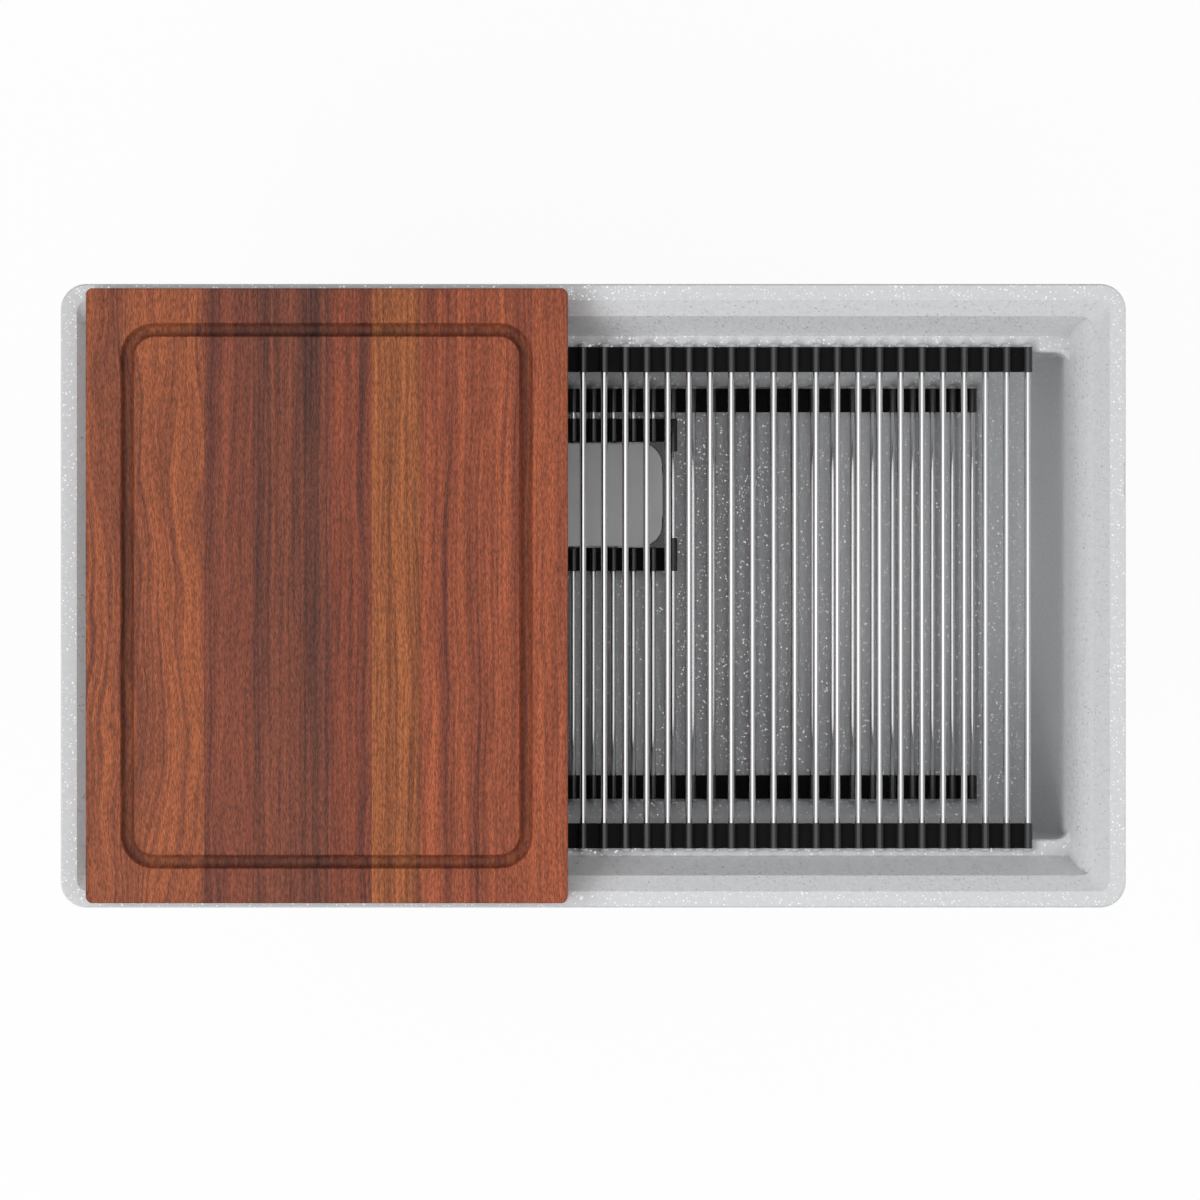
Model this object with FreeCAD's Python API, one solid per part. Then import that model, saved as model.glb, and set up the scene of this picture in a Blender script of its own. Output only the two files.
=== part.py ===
"""Undermount kitchen sink with ledge accessories, all sizes in millimetres.

Frame: origin at the middle of the rim's top plane, X along the sink, Y to the back, Z up.
"""
import FreeCAD, Part
import math
import os

os.makedirs("parts", exist_ok=True)
V = FreeCAD.Vector

# Rim: the flat land that meets the underside of the counter, and the bevel inside it
rim_width = 787.4
rim_depth = 461.0
rim_corner_r = 19.0
rim_thick = 14.0
rim_edge = 1.2
land = 12.0
land_corner_r = 8.5
bevel_plan = 11.35
bevel_drop = 7.0

# Bowl: depth to the drain flange, lean of the walls, and the fall of the floor
bowl_depth = 228.6
floor_fall = 3.0
end_lean = 4.2
side_lean = 7.0
bowl_corner_r = 10.0
cove_r = 9.0
wall = 9.0
floor_thick = 11.0
outer_cove_r = 14.0

# Ledge along the front and the back wall that carries the roll mat
ledge_drop = 30.0
ledge_end_gap = 16.15
ledge_slope_plan = 13.4
ledge_flat = 9.8
ledge_nose_r = 2.4
ledge_face_lean = 0.8
ledge_thick = 10.0
channel_corner_r = 8.0

# Shallow mark on the right edge of the rim, left where the mould was filled
mark_y = 86.7
mark_length = 24.4
mark_inset = 1.3
mark_drop = 3.0

# Threaded hexagonal inserts moulded into the underside of the rim
insert_flats = 8.0
insert_bore_r = 2.5
insert_length = 10.0
insert_edge = 7.2
insert_x_shares = (-0.38, -0.13, 0.13, 0.38)
insert_y_shares = (-0.24, 0.24)

# Drain hole, the recess for the flange above it and the pad for the nut below it
drain_wall_gap = 120.15
drain_hole_r = 45.0
recess_depth = 3.0
pad_r = 64.0
pad_height = 2.0

# Cutting board with its juice groove, and the step below that keeps it in the opening
board_width = 353.6
board_bearing = 7.1
board_thick = 25.4
board_corner_r = 3.5
board_edge = 1.6
board_left_gap = 9.4
board_tongue = 4.0
tongue_end_inset = 6.0
groove_margin = 30.6
groove_r = 5.65
groove_corner_r = 12.5

# Rods and end strips, the same in both mats; as they repeat, their round parts have few flats
rod_sides = 8
rod_r = 2.4
rod_pitch = 15.78
sleeve_r = 3.55
strip_width = 18.6
web_thick = 3.0
sleeve_overhang = 2.4
bore_clearance = 0.05
strip_cap = 3.0

# Roll mat on the ledge
roll_rods = 26
roll_wall_gap = 4.55
roll_shift_y = -1.4
roll_right_gap = 26.4

# Mat on the floor of the bowl, with its cut-out over the drain
floor_mat_end_gap = 60.0
floor_mat_wall_gap = 7.25
floor_mat_shift_x = -0.6
floor_mat_shift_y = 1.8
cut_rods = 7
frame_bar = 4.47
opening_half_y = 41.6
opening_corner_r = 12.6
corner_sleeve_length = 26.1

# Plain cover over the drain, with four feet that stand on the flange
cover_clearance = 0.8
cover_thick = 3.0
cover_edge = 0.9
foot_r = 3.0
foot_ring_r = 50.5
foot_angle = 37.0

# Strainer: steel body with a flange, screwed through the drain hole
flange_r = 57.0
flange_thick = 1.6
flange_sink = 0.2
strainer_r = 43.2
strainer_wall = 1.6
strainer_lip_r = 45.4
strainer_lip_drop = 5.0
strainer_drop = 50.0
strainer_seat_drop = 57.5
seat_r = 28.0
neck_r = 23.7
neck_bore_r = 20.0
neck_drop = 78.0
bar_width = 3.0
bar_thick = 3.0
hub_r = 6.0
tip_clearance = 0.3

# Basket with its post, knob and rubber seal
basket_gap = 1.3
basket_wall = 0.8
basket_floor_drop = 50.0
basket_floor_r = 36.0
basket_bend = 5.0
basket_rim_drop = 3.4
basket_flare = 1.5
basket_slots = 12
slot_width = 2.6
slot_height = 16.0
slot_top_drop = 22.0
floor_slots = 8
floor_slot_inner_r = 20.0
floor_slot_length = 11.0
seal_r = 25.0
seal_step_r = 17.0
seal_thick = 4.2
post_r = 3.0
tip_r = 2.2
tip_reach = 4.5
knob_r = 11.0
knob_drop = 0.4
knob_height = 6.0
knob_waist_r = 6.0

# Gasket, friction ring and locknut that clamp the strainer from below
gasket_r = 58.0
gasket_thick = 3.5
friction_thick = 1.0
locknut_r = 58.0
locknut_flange = 4.0
locknut_collar_r = 50.0
locknut_height = 13.0
locknut_lugs = 8
lug_width = 9.0

# Tailpiece with its washer and coupling nut
tail_r = 19.05
tail_wall = 1.2
tail_length = 101.6
tail_flange_r = 22.8
tail_flange_thick = 1.4
tail_washer_thick = 2.0
nut_flats = 56.0
nut_height = 24.0
nut_lip = 2.6
nut_bevel = 2.2
nut_clearance = 0.05
lip_clearance = 0.95

# One overrun for every cut
overrun = 1.0

# Places that follow from the sizes above
land_x = rim_width / 2 - land
land_y = rim_depth / 2 - land
edge_x = land_x - bevel_plan
edge_y = land_y - bevel_plan
floor_x = edge_x - end_lean
floor_y = edge_y - side_lean
drain_y = floor_y - drain_wall_gap
ledge_back = edge_y - ledge_slope_plan
ledge_half_span = floor_x - ledge_end_gap
ledge_face = ledge_back - ledge_flat - ledge_nose_r
ledge_foot = ledge_face - ledge_face_lean - cove_r
board_depth = 2 * (land_y + board_bearing)
roll_half_length = ledge_back - roll_wall_gap - sleeve_overhang
floor_mat_half_length = ledge_foot - floor_mat_wall_gap - sleeve_overhang
side_rod_x = rod_pitch * (cut_rods + 1) / 2
opening_half_x = side_rod_x - sleeve_r - frame_bar
flange_top = -bowl_depth - flange_sink
pad_z = -bowl_depth - floor_thick - pad_height


def floor_height(x, y):
    """Height of the falling floor, four planes that meet at the drain."""
    back = (y - drain_y) / (floor_y - drain_y)
    front = (drain_y - y) / (floor_y + drain_y)
    return -bowl_depth + floor_fall * max(abs(x) / floor_x, back, front)


floor_mat_z = floor_height(0, floor_mat_shift_y - floor_mat_half_length - sleeve_overhang)


def rounded(half_x, half_y, radius, z, x=0, y=0):
    """Closed wire of a rounded rectangle about (x, y) at height z."""
    a = half_x - radius
    b = half_y - radius
    k = radius * math.sqrt(0.5)
    edges = []
    for sx, sy, turn in ((1, 1, 0), (-1, 1, 1), (-1, -1, 0), (1, -1, 1)):
        side = V(x + sx * half_x, y + sy * b, z)
        middle = V(x + sx * (a + k), y + sy * (b + k), z)
        end = V(x + sx * a, y + sy * half_y, z)
        if turn:
            side, end = end, side
        if edges:
            edges.append(Part.makeLine(last, side))
        else:
            first = side
        edges.append(Part.Arc(side, middle, end).toShape())
        last = end
    edges.append(Part.makeLine(last, first))
    return Part.Wire(edges)


def prism(half_x, half_y, radius, low, high, x=0, y=0):
    """Upright rounded block between two heights."""
    return Part.Face(rounded(half_x, half_y, radius, low, x, y)).extrude(V(0, 0, high - low))


def block(x0, x1, y0, y1, z0, z1):
    """Plain block between two corners."""
    return Part.makeBox(x1 - x0, y1 - y0, z1 - z0, V(x0, y0, z0))


def disc(radius, low, high, x=0, y=drain_y):
    """Upright cylinder, on the drain's axis unless told otherwise."""
    return Part.makeCylinder(radius, high - low, V(x, y, low))


def ring(outer, inner, low, high):
    """Upright ring on the drain's axis."""
    return disc(outer, low, high).cut(disc(inner, low - overrun, high + overrun))


def turned(points):
    """Solid of revolution about the drain's axis from (radius, height) points."""
    corners = [V(r, drain_y, z) for r, z in points]
    face = Part.Face(Part.makePolygon(corners + corners[:1]))
    return face.revolve(V(0, drain_y, 0), V(0, 0, 1), 360)


def spread(shape, count):
    """Copies of a shape made about the frame's Z axis, evenly round the drain's axis."""
    copies = []
    for i in range(count):
        copy = shape.copy()
        copy.rotate(V(0, 0, 0), V(0, 0, 1), 360 * i / count)
        copy.translate(V(0, drain_y, 0))
        copies.append(copy)
    return copies


def hexagon(flats, low, high, x=0, y=drain_y):
    """Upright hexagonal block of that width across its flats."""
    corner = flats / math.sqrt(3)
    points = [V(x + corner * math.cos(math.pi * i / 3), y + corner * math.sin(math.pi * i / 3), low)
              for i in range(7)]
    return Part.Face(Part.makePolygon(points)).extrude(V(0, 0, high - low))


def tub(top, low, corner_r, edge_r):
    """Leaning tub between two (half x, half y, z) outlines, rounded at its corners and below."""
    outlines = [[V(sx * half_x, sy * half_y, z) for sx, sy in ((1, 1), (-1, 1), (-1, -1), (1, -1))]
                for half_x, half_y, z in (top, low)]
    faces = [Part.Face(Part.makePolygon(end + end[:1])) for end in outlines]
    near, far = outlines
    for i in range(len(near)):
        j = (i + 1) % len(near)
        faces.append(Part.Face(Part.makePolygon([near[i], near[j], far[j], far[i], near[i]])))
    body = Part.makeSolid(Part.makeShell(faces))
    corners = [edge for edge in body.Edges if edge.BoundBox.ZLength > edge_r]
    body = body.makeFillet(corner_r, corners)
    return body.makeFillet(edge_r, edges_at(body, low[2]))


def edges_at(shape, z):
    """Edges that lie wholly at one height."""
    flat = []
    for edge in shape.Edges:
        box = edge.BoundBox
        if abs(box.ZMin - z) < 1e-4 and abs(box.ZMax - z) < 1e-4:
            flat.append(edge)
    return flat


def save(shape, node):
    shape.exportStep("parts/" + node + ".step")


# Bowl: one moulded shell

def bowl_cavity():
    """Bevel, leaning walls with a cove, and the falling floor."""
    well = tub((edge_x, edge_y, -bevel_drop), (floor_x, floor_y, -bowl_depth), bowl_corner_r, cove_r)
    mouth = Part.Wire(Part.__sortEdges__(edges_at(well, -bevel_drop)))
    bevel = Part.makeLoft([rounded(land_x, land_y, land_corner_r, 0), mouth], True, True)
    return bevel.fuse(well.common(space_over_floor()))


def space_over_floor():
    """All that lies above the four floor planes, with its tip at the drain."""
    reach = rim_width / floor_x
    tip = V(0, drain_y, -bowl_depth)
    low = []
    for sx, sy in ((1, 1), (-1, 1), (-1, -1), (1, -1)):
        corner = V(sx * floor_x, sy * floor_y, -bowl_depth + floor_fall)
        low.append(tip + (corner - tip) * reach)
    high = [V(p.x, p.y, 0) for p in low]
    faces = [Part.Face(Part.makePolygon(high + high[:1]))]
    for i in range(len(low)):
        j = (i + 1) % len(low)
        faces.append(Part.Face(Part.makePolygon([tip, low[i], low[j], tip])))
        faces.append(Part.Face(Part.makePolygon([low[i], low[j], high[j], high[i], low[i]])))
    return Part.makeSolid(Part.makeShell(faces))


def ledge(side):
    """Ledge with its slope above, its rounded nose and the cove at its foot."""
    root = edge_y + wall / 2
    low_root = floor_y + wall / 2
    low_face = ledge_face - ledge_face_lean
    foot = ledge_foot
    foot_z = floor_height(0, side * foot)
    base = -bowl_depth - floor_thick / 2
    k = math.sqrt(0.5)

    def at(y, z):
        return V(-ledge_half_span, side * y, z)

    nose = Part.Arc(
        at(ledge_back - ledge_flat, -ledge_drop),
        at(ledge_face + ledge_nose_r * (1 - k), -ledge_drop - ledge_nose_r * (1 - k)),
        at(ledge_face, -ledge_drop - ledge_nose_r))
    cove = Part.Arc(
        at(low_face, foot_z + cove_r),
        at(low_face - cove_r * (1 - k), foot_z + cove_r * (1 - k)),
        at(foot, foot_z))
    edges = [
        Part.makeLine(at(root, -bevel_drop), at(edge_y, -bevel_drop)),
        Part.makeLine(at(edge_y, -bevel_drop), at(ledge_back, -ledge_drop)),
        Part.makeLine(at(ledge_back, -ledge_drop), at(ledge_back - ledge_flat, -ledge_drop)),
        nose.toShape(),
        Part.makeLine(at(ledge_face, -ledge_drop - ledge_nose_r), at(low_face, foot_z + cove_r)),
        cove.toShape(),
        Part.makeLine(at(foot, foot_z), at(foot, base)),
        Part.makeLine(at(foot, base), at(low_root, base)),
        Part.makeLine(at(low_root, base), at(root, -bevel_drop)),
    ]
    return Part.Face(Part.Wire(edges)).extrude(V(2 * ledge_half_span, 0, 0))


def insert_places():
    """Centres of the inserts, along the long sides and then along the ends."""
    y = rim_depth / 2 - insert_edge
    x = rim_width / 2 - insert_edge
    places = [(share * rim_width, side * y) for share in insert_x_shares for side in (-1, 1)]
    return places + [(side * x, share * rim_depth) for share in insert_y_shares for side in (-1, 1)]


def sink_bowl():
    bottom = -bowl_depth - floor_thick
    rim = prism(rim_width / 2, rim_depth / 2, rim_corner_r, -rim_thick, 0)
    rim = rim.makeChamfer(rim_edge, edges_at(rim, 0))
    shell = tub((edge_x + wall, edge_y + wall, -bevel_drop), (floor_x + wall, floor_y + wall, bottom),
                bowl_corner_r + wall, outer_cove_r)
    body = rim.fuse(shell).fuse(disc(pad_r, pad_z, bottom + overrun))
    body = body.cut(bowl_cavity())
    channel_half = ledge_half_span - wall
    for side in (-1, 1):
        body = body.fuse(ledge(side))
        near = ledge_face + wall
        body = body.cut(prism(
            channel_half, rim_depth / 2 - near, channel_corner_r,
            bottom - overrun, -ledge_drop - ledge_thick, 0, side * rim_depth / 2))
    body = body.cut(disc(drain_hole_r, pad_z - overrun, 0))
    body = body.cut(disc(flange_r + flange_thick, -bowl_depth - recess_depth, 0))
    mark_x = rim_width / 2 - mark_inset
    body = body.cut(block(
        mark_x, mark_x + mark_inset + overrun,
        mark_y - mark_length / 2, mark_y + mark_length / 2, -mark_drop, overrun))
    holes = [hexagon(insert_flats, -rim_thick - overrun, -rim_thick + insert_length, x, y)
             for x, y in insert_places()]
    return body.cut(Part.makeCompound(holes)).removeSplitter()


def rim_inserts():
    """Brass inserts, whose flats keep them from turning in the rim."""
    low = -rim_thick
    high = low + insert_length
    solids = [hexagon(insert_flats, low, high, x, y).cut(
        disc(insert_bore_r, low - overrun, high + overrun, x, y)) for x, y in insert_places()]
    return Part.makeCompound(solids)


# Cutting board

def cutting_board():
    x0 = -land_x + board_left_gap
    mid = x0 + board_width / 2
    board = prism(board_width / 2, board_depth / 2, board_corner_r, 0, board_thick, mid, 0)
    board = board.makeChamfer(board_edge, edges_at(board, board_thick))
    lean = bevel_plan / bevel_drop
    top_y = land_y - board_edge / 2
    low_y = top_y - board_tongue * lean
    tongue = Part.Face(Part.makePolygon([
        V(x0 + tongue_end_inset, -top_y, 0), V(x0 + tongue_end_inset, top_y, 0),
        V(x0 + tongue_end_inset, low_y, -board_tongue),
        V(x0 + tongue_end_inset, -low_y, -board_tongue), V(x0 + tongue_end_inset, -top_y, 0),
    ])).extrude(V(board_width - 2 * tongue_end_inset, 0, 0))
    half_x = board_width / 2 - groove_margin
    half_y = board_depth / 2 - groove_margin
    path = rounded(half_x, half_y, groove_corner_r, board_thick, mid, 0)
    start = path.Edges[0].Vertexes[0].Point
    circle = Part.Wire(Part.makeCircle(groove_r, start, V(0, 1, 0)))
    groove = path.makePipeShell([circle], True, True)
    return board.fuse(tongue).cut(groove).removeSplitter()


# Mats: steel rods in silicone end strips

def around(x, y, z, radius, count):
    """Corners about a rod's axis, whose flats lie at the radius; half of them arch over it."""
    reach = radius / math.cos(math.pi / rod_sides)
    turns = [2 * math.pi * (i + 0.5) / rod_sides for i in range(count)]
    return [V(x + reach * math.cos(turn), y, z + reach * math.sin(turn)) for turn in turns]


def sleeve(x, inner, outer, base):
    """Arched sleeve along a rod, with square ends."""
    arch = around(x, inner, base + sleeve_r, sleeve_r, rod_sides // 2)
    corners = [V(x + sleeve_r, inner, base)] + arch + [V(x - sleeve_r, inner, base)]
    return Part.Face(Part.makePolygon(corners + corners[:1])).extrude(V(0, outer - inner, 0))


def rod(x, y0, y1, base, radius=rod_r):
    """Rod along Y at the sleeves' height."""
    corners = around(x, y0, base + sleeve_r, radius, rod_sides)
    return Part.Face(Part.makePolygon(corners + corners[:1])).extrude(V(0, y1 - y0, 0))


def strip(rod_places, inner, outer, base):
    """End strip: a web, a sleeve for each rod, and a blind bore in each sleeve."""
    away = 1 if outer > inner else -1
    low, high = sorted((inner, outer))
    web = block(rod_places[0], rod_places[-1], low, high, base, base + web_thick)
    body = web.multiFuse([sleeve(x, inner, outer + away * sleeve_overhang, base) for x in rod_places])
    ends = sorted((inner - away * overrun, outer - away * strip_cap))
    bores = [rod(x, ends[0], ends[1], base, rod_r + bore_clearance) for x in rod_places]
    return body.cut(Part.makeCompound(bores)).removeSplitter()


def roll_mat():
    """Roll mat that lies across the bowl on the two ledges."""
    right = ledge_half_span - roll_right_gap
    places = [right - rod_pitch * (roll_rods - 1 - i) for i in range(roll_rods)]
    base = -ledge_drop
    inner = roll_half_length - strip_width
    for side, name in ((1, "back"), (-1, "front")):
        part = strip(places, roll_shift_y + side * inner, roll_shift_y + side * roll_half_length, base)
        save(part, "roll_mat_strip_" + name)
    reach = roll_half_length - strip_cap
    rods = [rod(x, roll_shift_y - reach, roll_shift_y + reach, base) for x in places]
    save(Part.makeCompound(rods), "roll_mat_rods")


def floor_mat():
    """Mat on the bowl's floor; its middle rods stop at the frame of the cut-out."""
    middle = int((floor_x - floor_mat_end_gap) / rod_pitch)
    places = [floor_mat_shift_x + rod_pitch * i for i in range(-middle, middle + 1)]
    first = middle - cut_rods // 2
    cut = places[first:first + cut_rods]
    base = floor_mat_z
    inner = floor_mat_half_length - strip_width
    for side, name in ((1, "back"), (-1, "front")):
        part = strip(places, floor_mat_shift_y + side * inner,
                     floor_mat_shift_y + side * floor_mat_half_length, base)
        save(part, "floor_mat_strip_" + name)
    reach = floor_mat_half_length - strip_cap
    low = floor_mat_shift_y - reach
    high = floor_mat_shift_y + reach
    save(Part.makeCompound([rod(x, low, high, base) for x in places if x not in cut]),
         "floor_mat_rods")
    back = drain_y + opening_half_y + strip_cap
    front = drain_y - opening_half_y - strip_cap
    save(Part.makeCompound([rod(x, back, high, base) for x in cut]), "floor_mat_short_rods_back")
    save(Part.makeCompound([rod(x, low, front, base) for x in cut]), "floor_mat_short_rods_front")
    save(drain_frame(cut, base), "floor_mat_drain_frame")


def drain_frame(cut, base):
    """Frame of the cut-out: sleeves for the cut rods and for the whole rod at each side."""
    x = floor_mat_shift_x
    half_y = opening_half_y + strip_width
    sides = (cut[0] - rod_pitch, cut[-1] + rod_pitch)
    half_x = opening_half_x + frame_bar
    body = prism(half_x, half_y, sleeve_r, base, base + web_thick, x, drain_y)
    parts = []
    bores = []
    for side in (-1, 1):
        edge = drain_y + side * half_y
        parts.append(block(
            sides[0], sides[1], *sorted((edge, edge - side * strip_width)), base, base + web_thick))
        inner = drain_y + side * opening_half_y
        for place in cut:
            parts.append(sleeve(place, inner, edge, base))
            ends = sorted((inner + side * strip_cap, edge + side * overrun))
            bores.append(rod(place, ends[0], ends[1], base, rod_r + bore_clearance))
        for place in sides:
            parts.append(sleeve(place, edge - side * corner_sleeve_length, edge, base))
    for place in sides:
        bores.append(rod(place, drain_y - half_y - overrun, drain_y + half_y + overrun, base,
                         rod_r + bore_clearance))
    opening = prism(opening_half_x, opening_half_y, opening_corner_r,
                    base - overrun, base + 2 * sleeve_r + overrun, x, drain_y)
    body = body.multiFuse(parts).cut(opening)
    return body.cut(Part.makeCompound(bores)).removeSplitter()


def drain_cover():
    """Plain cover that fits the cut-out and stands on the strainer's flange."""
    top = floor_mat_z + 2 * sleeve_r
    low = top - cover_thick
    plate = prism(opening_half_x - cover_clearance, opening_half_y - cover_clearance,
                  opening_corner_r - cover_clearance, low, top, floor_mat_shift_x, drain_y)
    plate = plate.makeChamfer(cover_edge, edges_at(plate, top))
    feet = []
    for turn in (foot_angle, 180 - foot_angle, 180 + foot_angle, -foot_angle):
        x = foot_ring_r * math.cos(math.radians(turn))
        y = drain_y + foot_ring_r * math.sin(math.radians(turn))
        feet.append(disc(foot_r, flange_top, low + cover_edge, x, y))
    return plate.multiFuse(feet).removeSplitter()


# Strainer, all turned about the drain's axis

def strainer_body():
    """Flange, cup with a seat for the seal, and the threaded neck with its cross."""
    top = flange_top
    bore = strainer_r - strainer_wall
    body = turned([
        (flange_r, top), (flange_r, top - flange_thick), (strainer_r, top - flange_thick),
        (strainer_r, top - strainer_drop - strainer_wall),
        (seat_r, top - strainer_seat_drop - strainer_wall),
        (neck_r, top - strainer_seat_drop - strainer_wall), (neck_r, top - neck_drop),
        (neck_bore_r, top - neck_drop), (neck_bore_r, top - strainer_seat_drop),
        (seat_r, top - strainer_seat_drop), (bore, top - strainer_drop),
        (bore, top - strainer_lip_drop), (strainer_lip_r, top),
    ])
    high = top - strainer_seat_drop - strainer_wall
    reach = neck_bore_r + (neck_r - neck_bore_r) / 2
    half = bar_width / 2
    cross = disc(hub_r, high - bar_thick, high).multiFuse([
        block(-reach, reach, drain_y - half, drain_y + half, high - bar_thick, high),
        block(-half, half, drain_y - reach, drain_y + reach, high - bar_thick, high),
    ])
    hub_bore = disc(tip_r + tip_clearance, high - bar_thick - overrun, high + overrun)
    return body.fuse(cross.cut(hub_bore)).removeSplitter()


def strainer_basket():
    """Basket with a flared rim, slots in its wall and radial slots in its floor."""
    top = flange_top
    outer = strainer_r - strainer_wall - basket_gap
    inner = outer - basket_wall
    low = top - basket_floor_drop
    rim = top - basket_rim_drop
    rim_r = outer + basket_flare
    cup = turned([
        (post_r, low), (basket_floor_r, low), (outer, low + basket_bend),
        (outer, rim - basket_bend), (rim_r, rim), (rim_r - basket_wall, rim),
        (inner, rim - basket_bend), (inner, low + basket_bend),
        (basket_floor_r - basket_wall, low + basket_wall), (post_r, low + basket_wall),
    ])
    half = slot_width / 2
    wall_slot = block(inner - overrun, outer + overrun, -half, half,
                      top - slot_top_drop - slot_height, top - slot_top_drop)
    floor_slot = block(floor_slot_inner_r, floor_slot_inner_r + floor_slot_length, -half, half,
                       low - overrun, low + basket_wall + overrun)
    cuts = spread(wall_slot, basket_slots) + spread(floor_slot, floor_slots)
    return cup.cut(Part.makeCompound(cuts))


def basket_post():
    """Post with a waisted knob above and a tip that enters the cross below."""
    top = flange_top - knob_drop
    seat = flange_top - strainer_seat_drop
    return turned([
        (0, top), (knob_r, top), (knob_r, top - knob_height / 2),
        (knob_waist_r, top - knob_height), (post_r, top - 2 * knob_height),
        (post_r, seat), (tip_r, seat),
        (tip_r, seat - tip_reach), (0, seat - tip_reach),
    ])


def basket_seal():
    """Stepped rubber seal between the basket's floor and the seat."""
    seat = flange_top - strainer_seat_drop
    low = flange_top - basket_floor_drop
    return turned([
        (post_r, seat), (seal_r, seat), (seal_r, seat + seal_thick),
        (seal_step_r, seat + seal_thick), (seal_step_r, low), (post_r, low),
    ])


def locknut():
    """Threaded ring with a collar and lugs for the wrench."""
    top = pad_z - gasket_thick - friction_thick
    low = top - locknut_height
    nut = disc(locknut_r, top - locknut_flange, top).fuse(disc(locknut_collar_r, low, top))
    lug = block(0, locknut_r, -lug_width / 2, lug_width / 2, low, top)
    nut = nut.multiFuse([copy.common(disc(locknut_r, low, top)) for copy in spread(lug, locknut_lugs)])
    return nut.cut(disc(strainer_r, low - overrun, top + overrun)).removeSplitter()


def tailpiece():
    """Flanged tube that leads to the trap."""
    top = flange_top - neck_drop - tail_washer_thick
    bore = tail_r - tail_wall
    return turned([
        (bore, top), (tail_flange_r, top), (tail_flange_r, top - tail_flange_thick),
        (tail_r, top - tail_flange_thick), (tail_r, top - tail_length), (bore, top - tail_length),
    ])


def coupling_nut():
    """Hexagonal nut with bevelled corners and a lip under the tailpiece's flange."""
    seat = flange_top - neck_drop - tail_washer_thick - tail_flange_thick
    low = seat - nut_lip
    high = low + nut_height
    corner = nut_flats / math.sqrt(3)
    nut = hexagon(nut_flats, low, high).common(turned([
        (0, low), (corner - nut_bevel, low), (corner, low + nut_bevel),
        (corner, high - nut_bevel), (corner - nut_bevel, high), (0, high),
    ]))
    nut = nut.cut(disc(neck_r + nut_clearance, seat, high + overrun))
    return nut.cut(disc(tail_r + lip_clearance, low - overrun, seat + overrun))


def main():
    save(sink_bowl(), "sink_bowl")
    save(rim_inserts(), "rim_inserts")
    save(cutting_board(), "cutting_board")
    roll_mat()
    floor_mat()
    save(drain_cover(), "drain_cover")
    save(strainer_body(), "strainer_body")
    recess = -bowl_depth - recess_depth
    under_flange = flange_top - flange_thick
    save(ring(flange_r - flange_thick, drain_hole_r, recess, under_flange), "flange_seal")
    save(strainer_basket(), "strainer_basket")
    save(basket_post(), "basket_post")
    save(basket_seal(), "basket_seal")
    washer = pad_z - gasket_thick
    save(ring(gasket_r, strainer_r, washer, pad_z), "strainer_gasket")
    save(ring(gasket_r, strainer_r, washer - friction_thick, washer), "friction_ring")
    save(locknut(), "strainer_locknut")
    save(tailpiece(), "tailpiece")
    neck_end = flange_top - neck_drop
    save(ring(tail_flange_r, tail_r, neck_end - tail_washer_thick, neck_end), "tailpiece_washer")
    save(coupling_nut(), "coupling_nut")


main()
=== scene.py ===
import math

import bmesh
import bpy
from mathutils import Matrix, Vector


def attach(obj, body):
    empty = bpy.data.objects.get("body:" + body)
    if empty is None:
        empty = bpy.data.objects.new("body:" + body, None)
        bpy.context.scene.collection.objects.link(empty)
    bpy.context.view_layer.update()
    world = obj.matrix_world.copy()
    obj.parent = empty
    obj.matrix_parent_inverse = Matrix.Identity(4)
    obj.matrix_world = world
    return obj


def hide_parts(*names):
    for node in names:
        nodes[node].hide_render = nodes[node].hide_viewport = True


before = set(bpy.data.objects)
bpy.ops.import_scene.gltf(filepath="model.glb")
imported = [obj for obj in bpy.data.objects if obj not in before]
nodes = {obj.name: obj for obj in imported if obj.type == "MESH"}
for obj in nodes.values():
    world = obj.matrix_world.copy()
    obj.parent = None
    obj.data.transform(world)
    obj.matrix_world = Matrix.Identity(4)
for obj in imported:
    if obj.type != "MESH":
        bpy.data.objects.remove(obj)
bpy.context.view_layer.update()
bpy.ops.object.select_all(action="DESELECT")


# Sink bowl. One moulding of quartz sand in acrylic resin, light grey with white
# flakes, satin as it leaves the mould. Its land is glued and clipped under the
# counter, and everything else hangs in it, so it stays the CAD solid.

def new_finish(name, colour, roughness, metallic=0.0, gloss=0.5):
    """A material with its plain settings on the surface shader: material, tree, shader."""
    made = bpy.data.materials.new(name)
    made.use_nodes = True
    shader = made.node_tree.nodes["Principled BSDF"]
    shader.inputs["Base Color"].default_value = (*colour, 1)
    shader.inputs["Roughness"].default_value = roughness
    shader.inputs["Metallic"].default_value = metallic
    shader.inputs["Specular IOR Level"].default_value = gloss
    return made, made.node_tree, shader


def feed(tree, value, socket):
    """Links a socket, or writes a plain value."""
    if isinstance(value, bpy.types.NodeSocket):
        tree.links.new(value, socket)
    else:
        socket.default_value = value


def place(tree, stretch=(1, 1, 1), shift=(0, 0, 0)):
    """The piece's own coordinates, stretched and moved."""
    own = tree.nodes.new("ShaderNodeTexCoord")
    mapping = tree.nodes.new("ShaderNodeMapping")
    mapping.inputs["Scale"].default_value = stretch
    mapping.inputs["Location"].default_value = shift
    tree.links.new(own.outputs["Object"], mapping.inputs["Vector"])
    return mapping.outputs["Vector"]


def noise(tree, vector, scale, detail=3.0, rough=0.5, warp=0.0):
    """Cloudy value from 0 to 1."""
    node = tree.nodes.new("ShaderNodeTexNoise")
    tree.links.new(vector, node.inputs["Vector"])
    node.inputs["Scale"].default_value = scale
    node.inputs["Detail"].default_value = detail
    node.inputs["Roughness"].default_value = rough
    node.inputs["Distortion"].default_value = warp
    return node.outputs["Fac"]


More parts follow.
